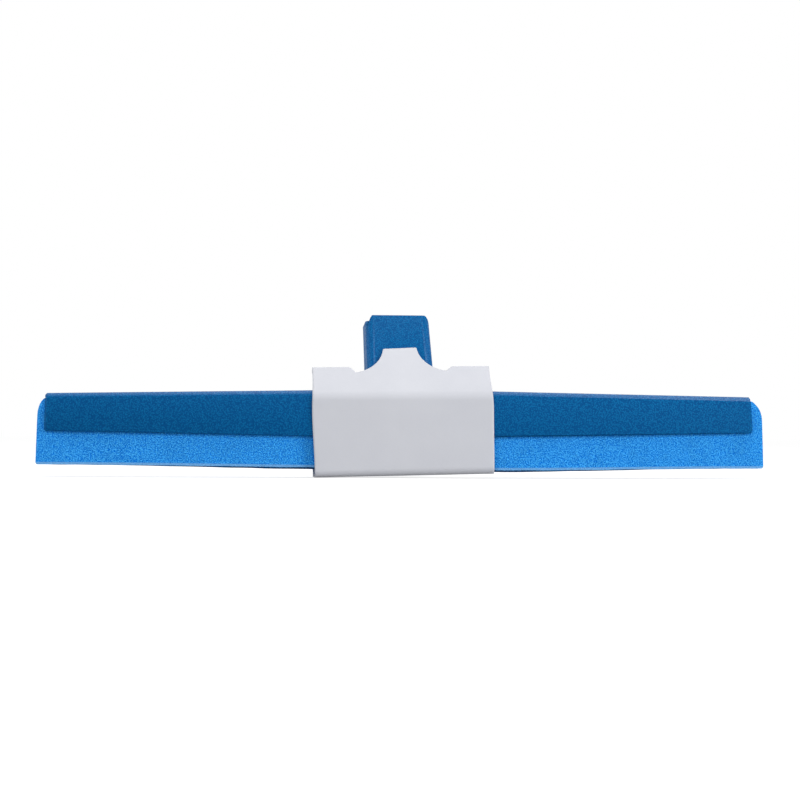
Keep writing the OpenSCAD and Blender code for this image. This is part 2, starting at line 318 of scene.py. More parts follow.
def grain_group() -> bpy.types.ShaderNodeTree:
    """Rounded cells of one size, such as a pebbled mould or the pores of foam.

    Returns:
        The group: Vector, Cell Size in metres, Unevenness, and the heights Foot and
        Crown between which the tops fade in; Height and Tops come out.
    """
    softness, waves_per_cell = 0.35, 0.6
    group = PatternGroup("rounded_grain", {"Vector": None, "Cell Size": 0.001,
                                           "Unevenness": 0.3, "Foot": 0.5,
                                           "Crown": 1.0}, ("Height", "Tops"))
    source = group.source.outputs
    scale = group.maths("DIVIDE", 1.0, source["Cell Size"])
    cells = group.node("ShaderNodeTexVoronoi", feature="SMOOTH_F1")
    cells.inputs["Smoothness"].default_value = softness
    group.join(source["Vector"], cells.inputs["Vector"])
    group.join(scale, cells.inputs["Scale"])
    waves = group.node("ShaderNodeTexNoise")
    waves.inputs["Detail"].default_value = 2.0
    group.join(source["Vector"], waves.inputs["Vector"])
    group.join(group.maths("MULTIPLY", scale, waves_per_cell), waves.inputs["Scale"])
    domes = group.maths("SUBTRACT", 1.0, cells.outputs["Distance"])
    uneven = group.maths("MULTIPLY", waves.outputs["Fac"], source["Unevenness"])
    height = group.maths("ADD", domes, uneven)
    group.join(height, group.result.inputs["Height"])
    tops = group.node("ShaderNodeMapRange", interpolation_type="SMOOTHSTEP")
    group.join(source["Foot"], tops.inputs["From Min"])
    group.join(source["Crown"], tops.inputs["From Max"])
    group.join(height, tops.inputs["Value"])
    group.join(tops.outputs["Result"], group.result.inputs["Tops"])
    return group.tree


def patches_group() -> bpy.types.ShaderNodeTree:
    """Soft uneven patches, as handling and moulding leave them.

    Returns:
        The group: Vector, Patch Size in metres and Contrast in, Amount out.
    """
    group = PatternGroup("soft_patches", {"Vector": None, "Patch Size": 0.03,
                                          "Contrast": 0.5}, ("Amount",))
    source = group.source.outputs
    cloud = group.node("ShaderNodeTexNoise")
    cloud.inputs["Detail"].default_value = 4.0
    cloud.inputs["Roughness"].default_value = 0.6
    group.join(source["Vector"], cloud.inputs["Vector"])
    group.join(group.maths("DIVIDE", 1.0, source["Patch Size"]), cloud.inputs["Scale"])
    middle = 0.5
    centred = group.maths("SUBTRACT", cloud.outputs["Fac"], middle)
    widened = group.maths("MULTIPLY", centred, source["Contrast"])
    amount = group.maths("ADD", widened, middle)
    clamp = group.node("ShaderNodeClamp")
    group.join(amount, clamp.inputs["Value"])
    group.join(clamp.outputs["Result"], group.result.inputs["Amount"])
    return group.tree


class Patterns:
    """The node groups that the finishes share."""

    grain: bpy.types.ShaderNodeTree
    patches: bpy.types.ShaderNodeTree

    @classmethod
    def build(cls) -> None:
        """Makes the groups once."""
        cls.grain = grain_group()
        cls.patches = patches_group()


# ---------------------------------------------------------------- finishes


class Dressing(NodeTree):
    """A material under construction, with its shader, Object coordinates and normal."""

    def __init__(self, name: str) -> None:
        """Makes the material, with a Principled BSDF and places to read.

        Args:
            name: The material's name.
        """
        self.material = bpy.data.materials.new(name)
        self.material.use_nodes = True
        super().__init__(self.material.node_tree)
        self.shader = self.tree.nodes["Principled BSDF"]
        source = self.node("ShaderNodeTexCoord")
        self.place = source.outputs["Object"]
        self.normal = source.outputs["Normal"]

    def pattern(self, tree: bpy.types.ShaderNodeTree, **values: float) -> bpy.types.Node:
        """Places a shared group.

        Args:
            tree: The group.
            values: Its inputs' values, with underscores for spaces.

        Returns:
            The group's node.
        """
        made = self.node("ShaderNodeGroup", node_tree=tree)
        for key, value in values.items():
            made.inputs[key.replace("_", " ")].default_value = value
        self.join(self.place, made.inputs["Vector"])
        return made

    def blend(self, mask: bpy.types.NodeSocket, low: Colour | bpy.types.NodeSocket,
              high: Colour | bpy.types.NodeSocket) -> bpy.types.NodeSocket:
        """Mixes two colours by a mask.

        Args:
            mask: The mask's socket.
            low: The colour at 0, three numbers or a socket.
            high: The colour at 1, three numbers or a socket.

        Returns:
            The mixed colour's socket.
        """
        mix = self.node("ShaderNodeMix", data_type="RGBA", blend_type="MIX")
        self.join(mask, mix.inputs[0])
        for value, end in ((low, mix.inputs[6]), (high, mix.inputs[7])):
            if isinstance(value, bpy.types.NodeSocket):
                self.join(value, end)
            else:
                end.default_value = (*value, 1.0)
        return mix.outputs[2]

    def shaded(self, colour: bpy.types.NodeSocket, mask: bpy.types.NodeSocket,
               low: float, high: float) -> bpy.types.NodeSocket:
        """Darkens a colour unevenly.

        Args:
            colour: The colour's socket.
            mask: The mask's socket.
            low: The colour's share where the mask is 0.
            high: Its share where the mask is 1; past 1 the colour stays whole.

        Returns:
            The darkened colour's socket.
        """
        return self.blend(self.ramp(mask, low, high), BLACK, colour)

    def relief(self, height: bpy.types.NodeSocket, depth: float,
               under: bpy.types.NodeSocket | None = None) -> bpy.types.NodeSocket:
        """Adds a Bump node.

        Args:
            height: The height's socket.
            depth: The relief's depth in metres.
            under: The normal that it builds on, if any.

        Returns:
            The normal's socket.
        """
        bump = self.node("ShaderNodeBump")
        bump.inputs["Strength"].default_value = 1.0
        bump.inputs["Distance"].default_value = depth
        self.join(height, bump.inputs["Height"])
        if under is not None:
            self.join(under, bump.inputs["Normal"])
        return bump.outputs["Normal"]

    def finish(self, colour: bpy.types.NodeSocket, roughness: bpy.types.NodeSocket,
               normal: bpy.types.NodeSocket, **plain: float) -> bpy.types.Material:
        """Joins the shader's varying inputs and sets its plain ones.

        Args:
            colour: The base colour's socket.
            roughness: The roughness's socket.
            normal: The normal's socket.
            plain: Plain values of other shader inputs, with underscores for spaces.

        Returns:
            The finished material.
        """
        self.join(colour, self.shader.inputs["Base Color"])
        self.join(roughness, self.shader.inputs["Roughness"])
        self.join(normal, self.shader.inputs["Normal"])
        for key, value in plain.items():
            self.shader.inputs[key.replace("_", " ")].default_value = value
        return self.material


@dataclass(frozen=True)
class PebbledPlastic:
    """Moulded plastic with a close pebble grain, painted lighter on its crowns and darker
    in its pits, and with a painted sheen where it faces up.

    The specular level is a painted sheen. It goes from the first to the second value of
    the sheen pair while the surface's upward lean goes from the first to the second value
    of the rise pair, so that faces turned up catch more of the overhead lamp.
    """

    name: str
    pits: Colour
    tops: Colour
    cell: float = 0.9 * MM
    depth: float = 0.13 * MM
    fine_cell: float = 0.3 * MM
    fine_depth: float = 0.026 * MM
    shade: tuple[float, float] = (0.9, 1.1)
    roughness: tuple[float, float] = (0.52, 0.38)
    painted_sheen: tuple[float, float] = (0.05, 0.6)
    painted_sheen_rise: tuple[float, float] = (0.61, 0.74)

    def material(self) -> bpy.types.Material:
        """Builds the material.

        Returns:
            The finished material.
        """
        d = Dressing(self.name)
        grain = d.pattern(Patterns.grain, Cell_Size=self.cell, Unevenness=0.12,
                          Foot=0.42, Crown=0.85)
        cloud = d.pattern(Patterns.patches, Patch_Size=0.035, Contrast=1.1)
        fine = d.pattern(Patterns.grain, Cell_Size=self.fine_cell, Unevenness=0.6)
        # Painted highlight and shade: the grain's crowns take the lighter tops colour and
        # its pits the darker pits colour.
        colour = d.blend(grain.outputs["Tops"], self.pits, self.tops)
        colour = d.shaded(colour, cloud.outputs["Amount"], *self.shade)
        rough = d.ramp(grain.outputs["Tops"], *self.roughness)
        normal = d.relief(fine.outputs["Height"], self.fine_depth)
        normal = d.relief(grain.outputs["Height"], self.depth, normal)
        # Painted sheen: the specular level rises where the surface faces up.
        facing = d.node("ShaderNodeSeparateXYZ")
        d.join(d.normal, facing.inputs["Vector"])
        painted_sheen_level = d.ramp(facing.outputs["Z"], *self.painted_sheen, *self.painted_sheen_rise)
        d.join(painted_sheen_level, d.shader.inputs["Specular IOR Level"])
        return d.finish(colour, rough, normal)


@dataclass(frozen=True)
class CellFoam:
    """Closed-cell foam: speckled cut cells, and a band of painted light at the working
    edge:
    a painted highlight on the front strip and painted shade on the rear.

    The mesh attribute lip_height gives each point's height above that edge.
    """

    name: str
    pores: Colour
    walls: Colour
    edge: Colour
    edge_fade: tuple[float, float] = (1.2 * MM, 1.8 * MM)
    speckle: float = 0.75 * MM
    depth: float = 0.2 * MM
    cell: float = 0.6 * MM
    cell_depth: float = 0.1 * MM
    shade: tuple[float, float] = (0.86, 1.1)

    def material(self) -> bpy.types.Material:
        """Builds the material.

        Returns:
            The finished material.
        """
        d = Dressing(self.name)
        specks = d.pattern(Patterns.patches, Patch_Size=self.speckle, Contrast=6.5)
        cells = d.pattern(Patterns.grain, Cell_Size=self.cell, Unevenness=0.8,
                          Foot=0.6, Crown=1.2)
        cloud = d.pattern(Patterns.patches, Patch_Size=0.016, Contrast=1.8)
        colour = d.blend(specks.outputs["Amount"], self.pores, self.walls)
        colour = d.shaded(colour, cloud.outputs["Amount"], *self.shade)
        height = d.node("ShaderNodeAttribute", attribute_name="lip_height")
        # Painted light along the working edge: the edge colour covers the lowest edge_fade
        # and fades out above it. It is a painted highlight on the front strip and painted
        # shade on the rear.
        painted_edge_lighting = d.ramp(height.outputs["Fac"], 1.0, 0.0, *self.edge_fade)
        colour = d.blend(painted_edge_lighting, colour, self.edge)
        rough = d.ramp(specks.outputs["Amount"], 0.85, 0.66)
        normal = d.relief(cells.outputs["Height"], self.cell_depth)
        normal = d.relief(specks.outputs["Amount"], self.depth, normal)
        return d.finish(colour, rough, normal, Specular_IOR_Level=0.04)


@dataclass(frozen=True)
class BareCard:
    """Uncoated pale card with faint fibres and handling marks."""

    name: str
    colour: Colour
    worn: Colour
    shade: tuple[float, float] = (0.965, 1.0)

    def material(self) -> bpy.types.Material:
        """Builds the material.

        Returns:
            The finished material.
        """
        d = Dressing(self.name)
        cloud = d.pattern(Patterns.patches, Patch_Size=0.045, Contrast=1.3)
        fibres = d.pattern(Patterns.patches, Patch_Size=0.0011, Contrast=1.0)
        colour = d.blend(cloud.outputs["Amount"], self.worn, self.colour)
        colour = d.shaded(colour, fibres.outputs["Amount"], *self.shade)
        rough = d.ramp(cloud.outputs["Amount"], 0.62, 0.5)
        normal = d.relief(fibres.outputs["Amount"], 0.035 * MM)
        return d.finish(colour, rough, normal, Specular_IOR_Level=0.3)


@dataclass(frozen=True)
class PlainPlastic:
    """Ungrained moulded plastic of a hidden strip."""

    name: str
    colour: Colour
    scuffed: Colour

    def material(self) -> bpy.types.Material:
        """Builds the material.

        Returns:
            The finished material.
        """
        d = Dressing(self.name)
        cloud = d.pattern(Patterns.patches, Patch_Size=0.012, Contrast=1.2)
        fine = d.pattern(Patterns.patches, Patch_Size=0.0009, Contrast=1.0)
        colour = d.blend(cloud.outputs["Amount"], self.colour, self.scuffed)
        rough = d.ramp(cloud.outputs["Amount"], 0.4, 0.55)
        normal = d.relief(fine.outputs["Amount"], 0.02 * MM)
        return d.finish(colour, rough, normal, Specular_IOR_Level=0.3)


@dataclass(frozen=True)
class ZincSteel:
    """Zinc plated screw steel."""

    name: str
    bright: Colour
    dull: Colour

    def material(self) -> bpy.types.Material:
        """Builds the material.

        Returns:
            The finished material.
        """
        d = Dressing(self.name)
        cloud = d.pattern(Patterns.patches, Patch_Size=0.003, Contrast=1.3)
        fine = d.pattern(Patterns.patches, Patch_Size=0.0004, Contrast=1.0)
        colour = d.blend(cloud.outputs["Amount"], self.dull, self.bright)
        rough = d.ramp(cloud.outputs["Amount"], 0.42, 0.28)
        normal = d.relief(fine.outputs["Amount"], 0.01 * MM)
        return d.finish(colour, rough, normal, Metallic=1.0)


# ---------------------------------------------------------------- sub-assemblies


@dataclass
class MouldedShells:
    """The two shells of the frame and socket, with their edges softened.

    rim_lift and rim_out are for the left and the right end of the lower rim.
    """

    edge: float = 0.55 * MM
    merge: float = 0.002 * MM
    flat: float = math.radians(0.5)
    crease: float = math.radians(32)
    rim_top: float = 22.5 * MM
    rim_lift: tuple[float, float] = (0.6 * MM, 1.2 * MM)
    rim_out: tuple[float, float] = (0.5 * MM, 0.9 * MM)
    lift_span: tuple[float, float] = (100 * MM, 200 * MM)
    out_span: tuple[float, float] = (200 * MM, 210 * MM)
    nodes: tuple[str, str] = ("front_shell", "rear_shell")
    # The finish's lighter tops and darker pits are a painted highlight on the grain's
    # crowns and painted shade in its pits.
    finish: PebbledPlastic = field(default_factory=lambda: PebbledPlastic(
        "pebbled_deep_blue", pits=(0.0, 0.07, 0.225), tops=(0.002, 0.125, 0.325)))

    def warp_rim(self, v: bmesh.types.BMVert) -> None:
        """Draws a point of the lower rim out and up towards the frame's ends.

        Args:
            v: The point.
        """
        v.co.x += self.rim_out[1] * ease(v.co.x, *self.out_span)
        v.co.x -= self.rim_out[0] * ease(-v.co.x, *self.out_span)
        v.co.z += self.rim_lift[1] * ease(v.co.x, *self.lift_span)
        v.co.z += self.rim_lift[0] * ease(-v.co.x, *self.lift_span)

    def soften(self, node: str) -> bpy.types.Object:
        """Copies a node's mesh with merged faces and small rounds on its edges.

        Args:
            node: The node to copy.

        Returns:
            The new piece.
        """
        bm = bmesh.new()
        bm.from_mesh(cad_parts[node].data)
        bmesh.ops.remove_doubles(bm, verts=bm.verts, dist=self.merge)
        bmesh.ops.dissolve_limit(bm, angle_limit=self.flat, verts=bm.verts,
                                 edges=bm.edges, use_dissolve_boundaries=False)
        for v in bm.verts:
            if v.co.z < BLADE.z + self.rim_top:
                self.warp_rim(v)
        piece = finished(f"{node}_moulding", bm, 30)
        rounding = piece.modifiers.new("soft_edges", "BEVEL")
        rounding.width = self.edge
        rounding.segments = 2
        rounding.limit_method = "ANGLE"
        rounding.angle_limit = self.crease
        rounding.use_clamp_overlap = True
        rounding.harden_normals = True
        return piece

    def build(self) -> None:
        """Builds and dresses both shells."""
        material = self.finish.material()
        for node in self.nodes:
            piece = self.soften(node)
            fit(piece, node, Body.HEAD, material)
            log.info("built %s", piece.name)


@dataclass
class FoamLip:
    """One foam strip: drawn-in upper corners, bowed and slightly wavy working edge.

    The edge also hangs by slack right of the sleeve, and by less towards the end.
    """

    node: str
    mid_y: float
    foot: float
    bow: float
    seed: float
    length: float = 450 * MM
    thickness: float = 6 * MM
    height: float = LIP_HEIGHT
    shown: float = 21 * MM
    lean_in: float = 1.43 * MM
    corner: tuple[float, float] = (6 * MM, 11 * MM)
    toe: float = 1.5 * MM
    columns: int = 560
    toe_rows: int = 6
    shown_rows: int = 26
    held_rows: int = 8
    wave: float = 0.22 * MM
    wave_pitch: float = 14.0
    ripple: float = 0.18 * MM
    ripple_pitch: tuple[float, float] = (60.0, 30.0)
    bow_power: float = 1.1
    slack: float = 1.55 * MM
    slack_span: tuple[float, float] = (25 * MM, 68 * MM)
    slack_fade: float = 0.4
    fade_span: tuple[float, float] = (100 * MM, 225 * MM)
    shift: float = 1.3 * MM
    top_slip: float = 1.5 * MM
    slip_span: tuple[float, float] = (218 * MM, 222 * MM)
    slip_foot: float = 24 * MM
    rim: float = 0.55 * MM
    pore_depth: float = 0.05 * MM
    pore_pitch: float = 900.0

    def half_length(self, z: float) -> float:
        """Half of the strip's length.

        Args:
            z: Height above the working edge.

        Returns:
            Half of the length at that height.
        """
        half = self.length / 2 - self.lean_in * z / self.height
        round_w, round_h = self.corner
        up = max(0.0, 1 - (self.height - z) / round_h)
        half -= round_w * (1 - math.sqrt(max(0.0, 1 - up * up)))
        down = max(0.0, 1 - z / self.toe)
        return half - self.toe * (1 - math.sqrt(max(0.0, 1 - down * down)))

    def droop(self, x: float) -> float:
        """How far the working edge hangs below the blade's level.

        Args:
            x: The place along the blade.

        Returns:
            The hang at that place.
        """
        middle = ((1 + math.cos(math.tau * x / self.length)) / 2) ** self.bow_power
        kept = 1 - self.slack_fade * ease(x, *self.fade_span)
        slack = self.slack * ease(x, *self.slack_span) * kept
        return self.bow * middle + slack - self.foot

    def rows(self) -> list[float]:
        """Heights of the mesh's rows, closer where the foam shows.

        Returns:
            The heights above the working edge, from the bottom up.
        """
        toe = [self.toe * (1 - math.cos(a)) for a in spread(0, math.pi / 2, self.toe_rows)]
        shown = spread(self.toe, self.shown, self.shown_rows)[1:]
        held = spread(self.shown, self.height - self.corner[1], 4)[1:]
        top = [self.height - self.corner[1] * (1 - math.sin(a))
               for a in spread(0, math.pi / 2, self.held_rows)][1:]
        return toe + shown + held + top

    def build(self, material: bpy.types.Material) -> bpy.types.Object:
        """Builds and dresses the strip.

        Args:
            material: The foam's finish.

        Returns:
            The piece.
        """
        rows = self.rows()
        bm = bmesh.new()
        bmesh.ops.create_grid(bm, x_segments=self.columns, y_segments=len(rows) - 1,
                              size=1.0)
        for v in bm.verts:
            row = round((v.co.y + 1) / 2 * (len(rows) - 1))
            v.co = self.place(v.co.x, rows[row])
        slab = bmesh.ops.extrude_face_region(bm, geom=bm.faces[:])
        rear = [v for v in slab["geom"] if isinstance(v, bmesh.types.BMVert)]
        bmesh.ops.translate(bm, verts=rear, vec=(0, self.thickness, 0))
        bmesh.ops.recalc_face_normals(bm, faces=bm.faces)
        rim = [e for e in bm.edges if e.calc_face_angle(0.0) > math.radians(60)]
        bmesh.ops.bevel(bm, geom=rim, offset=self.rim, segments=3, profile=0.5,
                        affect="EDGES", material=-1, clamp_overlap=True)
        bm.normal_update()
        above_edge = bm.verts.layers.float.new("lip_height")
        for v in bm.verts:
            v.co += v.normal * self.pores(v.co)
            v[above_edge] = v.co.z - BLADE.z + self.droop(v.co.x)
        piece = finished(f"{self.node}_foam", bm, 60)
        fit(piece, self.node, Body.HEAD, material)
        return piece

    def place(self, along: float, z: float) -> Vector:
        """Where a point of the strip's front face lies.

        Args:
            along: From -1 to 1 along the strip.
            z: Height above the working edge.

        Returns:
            The point in the part's frame.
        """
        x = along * self.half_length(z) + self.shift
        up = z - self.droop(x) * (1 - z / self.height)
        slipped = ease(x, *self.slip_span) * ease(z, self.slip_foot, self.height)
        up -= self.top_slip * slipped
        free = ease(z, self.shown, 0.0)
        sway = self.wave * free * noise.noise(
            Vector((x * self.wave_pitch, self.seed, 0.0)))
        along_pitch, up_pitch = self.ripple_pitch
        ripple = self.ripple * free * noise.noise(
            Vector((x * along_pitch, self.seed + 4, z * up_pitch)))
        return BLADE.point(x, self.mid_y - self.thickness / 2 + sway, up + ripple)

    def pores(self, at: Vector) -> float:
        """How far the foam's surface sinks at a point, as a value below 0."""
        return -self.pore_depth * abs(noise.noise(
            at * self.pore_pitch + Vector((self.seed, 0, 0))))


@dataclass
class FoamLips:
    """Both foam strips."""

    # The edge colours are painted light. The front's pale edge is a painted highlight of
    # the light line that its lower edge catches. The rear's dark edge is painted shade
    # under the front strip.
    finish_front: CellFoam = field(default_factory=lambda: CellFoam(
        "cell_foam_front", pores=(0.0, 0.165, 0.72), walls=(0.06, 0.455, 1.0),
        edge=(0.16, 0.42, 0.80)))
    # The rear strip's finish is a darker copy of the front's foam: painted shade for the
    # strip that stands behind.
    shaded_finish_rear: CellFoam = field(default_factory=lambda: CellFoam(
        "cell_foam_rear_painted_shade", pores=(0.0, 0.15, 0.54), walls=(0.03, 0.27, 0.72),
        edge=(0.02, 0.20, 0.55)))

    def build(self) -> None:
        """Builds and dresses both strips."""
        front = FoamLip("front_lip", mid_y=-5 * MM, foot=0.0, bow=1.4 * MM, seed=3.1)
        rear = FoamLip("rear_lip", mid_y=5 * MM, foot=-0.3 * MM, bow=2.8 * MM, seed=8.7)
        for lip, finish in ((front, self.finish_front), (rear, self.shaded_finish_rear)):
            piece = lip.build(finish.material())
            log.info("built %s", piece.name)


@dataclass
class CardSleeve:
    """The folded card loop, with its cut-out and crown-shaped tab.

    Pairs of drifts are for the left and the right edge, and each span names the
    stretch of heights, or of places across, over which a change comes in.
    """

    width: float = 109.9 * MM
    card: float = 0.45 * MM
    lean: float = math.radians(38)
    fold: tuple[float, float] = (2.85 * MM, 60.5 * MM)
    bend: tuple[float, float] = (-10.85 * MM, 42.96 * MM)
    front_y: float = -12.2 * MM
    low_z: float = -7.15 * MM
    shoulder: tuple[float, float] = (12.55 * MM, 44.7 * MM)
    window_foot: float = 14 * MM
    strap_gap: float = 56.4 * MM
    cutout: float = 63.6 * MM
    notch_drop: float = 4.1 * MM
    tab_height: float = 14.4 * MM
    tab_width: float = 19.4 * MM
    tab_side: float = 20.8 * MM
    tip: tuple[float, float] = (0.8 * MM, 0.6 * MM)
    tab_skew: float = 0.45 * MM
    panel_cut: float = 6 * MM
    low_radius: float = 4 * MM
    bend_radius: float = 9 * MM
    fold_radius: float = 0.45 * MM
    shoulder_radius: float = 9 * MM
    strap_start: float = 0.35
    wall_step: float = 1.5 * MM
    slope_step: float = 1.2 * MM
    cut_step: float = 0.5 * MM
    bottom_skew: float = 2.7 * MM
    fold_skew: float = 1.6 * MM
    bend_drift: tuple[float, float] = (-0.6 * MM, 1.6 * MM)
    low_drift: tuple[float, float] = (1.8 * MM, 0.45 * MM)
    back_short: float = 1.2 * MM
    swell: float = 0.28 * MM
    waver: float = 0.16 * MM
    waver_pitch: tuple[float, float, float] = (22.0, 30.0, 26.0)
    seed: float = 7.3
    bottom_span: tuple[float, float] = (26 * MM, -2 * MM)
    fold_span: tuple[float, float] = (36 * MM, 50 * MM)
    bend_span: tuple[float, float] = (57 * MM, 35 * MM)
    low_span: tuple[float, float] = (36 * MM, -6 * MM)
    back_span: tuple[float, float] = (20 * MM, -6 * MM)
    short_span: tuple[float, float] = (-40 * MM, -55 * MM)
    short_top: tuple[float, float] = (58 * MM, 52 * MM)
    swell_span: tuple[float, float] = (44 * MM, 30 * MM)
    waver_span: tuple[float, float] = (44 * MM, 34 * MM)
    finish: BareCard = field(default_factory=lambda: BareCard(
        "bare_card", colour=(0.56, 0.57, 0.61), worn=(0.50, 0.51, 0.555)))

    def columns(self) -> list[float]:
        """Places of the mesh's columns across the sleeve.

        Returns:
            The places from left to right, with one at each corner of the outline.
        """
        half, cut, strap = self.width / 2, self.cutout / 2, self.strap_gap / 2
        tip = self.tab_width / 2
        right = (spread(0, tip, 12) + spread(tip, tip + self.tip[0], 6)[1:]
                 + spread(tip + self.tip[0], strap, 34)[1:] + spread(strap, cut, 6)[1:]
                 + spread(cut, half, 20)[1:])
        return [-x for x in right[:0:-1]] + right

    def crown(self, x: float) -> float:
        """Height of the cut edge above the fold line.

        Args:
            x: The place across the sleeve.

        Returns:
            The height, along the panel, at that place.
        """
        x = abs(x)
        tip = (self.tab_width / 2 + self.tip[0], self.tab_height - self.tip[1])
        low = (self.strap_gap / 2, -self.notch_drop)
        if x >= self.cutout / 2:
            return 0.0
        if x >= low[0]:
            return low[1] * (self.cutout / 2 - x) / (self.cutout / 2 - low[0])
        if x <= self.tab_width / 2:
            return self.tab_height
        if x <= tip[0]:
            down = (x - self.tab_width / 2) / self.tip[0]
            return self.tab_height - self.tip[1] * down ** 2
        chord = Vector((tip[0] - low[0], tip[1] - low[1]))
        middle = Vector(((tip[0] + low[0]) / 2, (tip[1] + low[1]) / 2))
        away = Vector((-chord.y, chord.x)).normalized()
        if away.y < 0:
            away = -away
        reach = math.sqrt(self.tab_side ** 2 - (chord.length / 2) ** 2)
        centre = middle + Vector((abs(away.x), abs(away.y))) * reach
        return centre.y - math.sqrt(max(0.0, self.tab_side ** 2 - (x - centre.x) ** 2))

    def skewed(self, x: float) -> float:
        """How far the tab's cut edge stands off its height, from left to right."""
        tilt = min(1.0, max(-1.0, 2 * x / self.tab_width))
        return self.tab_skew * tilt * ease(abs(x), self.cutout / 2, self.strap_gap / 2)

    def path(self) -> tuple[list[Vector], int, int, int, int]:
        """The closed line of the sleeve's middle, as (y, z) from the blade.

        Returns:
            The points from the back's lower bend, under the blade, up the front and
            over the fold to the start again, and the indices of the panel's cut
            line, the fold line, the strap's cut end and the window's foot.
        """
        low_front = Vector((self.front_y, self.low_z))
        low_back = Vector((-self.front_y, self.low_z))
        bend, fold = Vector(self.bend), Vector(self.fold)
        shoulder = Vector(self.shoulder)
        up = Vector((math.sin(self.lean), math.cos(self.lean)))
        cut_line = fold - up * self.panel_cut
        line: list[Vector] = []

        def run(start: Vector, end: Vector, step: float) -> None:
            """Adds a straight stretch without its end point."""
            count = max(2, round((end - start).length / step) + 1)
            line.extend(start.lerp(end, t) for t in spread(0, 1, count)[:-1])

        back_arc = arc_points(shoulder, low_back, low_front, self.low_radius, 10)
        front_arc = arc_points(low_back, low_front, bend, self.low_radius, 12)
        bend_arc = arc_points(low_front, bend, cut_line, self.bend_radius, 10)
        fold_arc = arc_points(cut_line, fold, shoulder, self.fold_radius, 6)
        shoulder_arc = arc_points(fold, shoulder, low_back, self.shoulder_radius, 8)
        foot = Vector((low_back.x, self.window_foot))
        line.extend(back_arc[:-1])
        run(back_arc[-1], front_arc[0], self.wall_step)
        line.extend(front_arc[:-1])
        run(front_arc[-1], bend_arc[0], self.wall_step)
        line.extend(bend_arc[:-1])
        run(bend_arc[-1], cut_line, self.slope_step)
        at_cut = len(line)
        run(cut_line, fold_arc[0], self.cut_step)
        at_fold = len(line)
        line.extend(fold_arc[:-1])
        strap_end = fold_arc[-1].lerp(shoulder_arc[0], self.strap_start)
        run(fold_arc[-1], strap_end, self.slope_step)
        at_strap = len(line)
        run(strap_end, shoulder_arc[0], self.slope_step)
        line.extend(shoulder_arc[:-1])
        run(shoulder_arc[-1], foot, self.wall_step)
        at_foot = len(line)
        run(foot, back_arc[0], self.wall_step)
        line.append(back_arc[0])
        return line, at_cut, at_fold, at_strap, at_foot

    def settle(self, x: float, at: Vector) -> Vector:
        """Moves a point as the loose card hangs: skewed, off to a side, a little bowed.

        Args:
            x: The place across the sleeve.
            at: The point's (y, z) on the loop.

        Returns:
            The point in the part's frame.
        """
        across = x / self.width + 0.5
        lift = self.bottom_skew * across * ease(at.y, *self.bottom_span)
        lift += self.fold_skew * across * ease(at.y, *self.fold_span)
        bend = self.bend_drift[0] * (1 - across) + self.bend_drift[1] * across
        low = self.low_drift[0] * (1 - across) + self.low_drift[1] * across
        if at.x < 0:
            drift = bend * ease(at.y, *self.bend_span) + low * ease(at.y, *self.low_span)
        else:
            down = ease(at.y, *self.back_span)
            held = self.back_short * ease(x, *self.short_span)
            drift = (bend + low) * down + held * (1 - down) * ease(at.y, *self.short_top)
        swell = self.swell * math.cos(math.pi * x / self.width)
        swell *= ease(at.y, *self.swell_span) * (-1 if at.x < 0 else 1)
        across_pitch, deep_pitch, up_pitch = self.waver_pitch
        waver = self.waver * noise.noise(Vector((
            x * across_pitch, at.x * deep_pitch, at.y * up_pitch + self.seed)))
        waver *= ease(at.y, *self.waver_span)
        return BLADE.point(x + drift, at.x + swell + waver, at.y + lift)

    def build(self) -> None:
        """Builds and dresses the sleeve."""
        line, at_cut, at_fold, at_strap, at_foot = self.path()
        xs = self.columns()
        up = Vector((math.sin(self.lean), math.cos(self.lean)))
        bm = bmesh.new()
        bmesh.ops.create_grid(bm, x_segments=len(xs) - 1, y_segments=len(line) - 1,
                              size=1.0)
        where: dict[bmesh.types.BMVert, tuple[int, int]] = {}
        for v in bm.verts:
            column = round((v.co.x + 1) / 2 * (len(xs) - 1))
            row = round((v.co.y + 1) / 2 * (len(line) - 1))
            where[v] = (column, row)
        half_cut, half_gap = self.cutout / 2, self.strap_gap / 2
        gone = []
        for face in bm.faces:
            x = sum(xs[where[v][0]] for v in face.verts) / len(face.verts)
            row = min(where[v][1] for v in face.verts)
            over_fold = at_fold <= row < at_strap and abs(x) < half_cut
            behind = at_strap <= row < at_foot and abs(x) < half_gap
            if over_fold or behind:
                gone.append(face)
        for v in bm.verts:
            column, row = where[v]
            x, at = xs[column], line[row]
            if at_cut <= row <= at_fold and abs(x) < half_cut:
                t = (row - at_cut) / (at_fold - at_cut)
                reach = self.panel_cut + self.crown(x) + self.skewed(x)
                at = line[at_cut] + up * (t * reach)
            v.co = self.settle(x, at)
        bmesh.ops.delete(bm, geom=gone, context="FACES")
        bmesh.ops.remove_doubles(bm, verts=bm.verts, dist=0.01 * MM)
        bmesh.ops.recalc_face_normals(bm, faces=bm.faces)
        piece = finished("card_sleeve_folded", bm, 50)
        wall = piece.modifiers.new("card_thickness", "SOLIDIFY")
        wall.thickness = self.card
        wall.offset = 0.0
        wall.use_even_offset = True
        fit(piece, "card_sleeve", Body.SLEEVE, self.finish.material())
        log.info("built %s", piece.name)


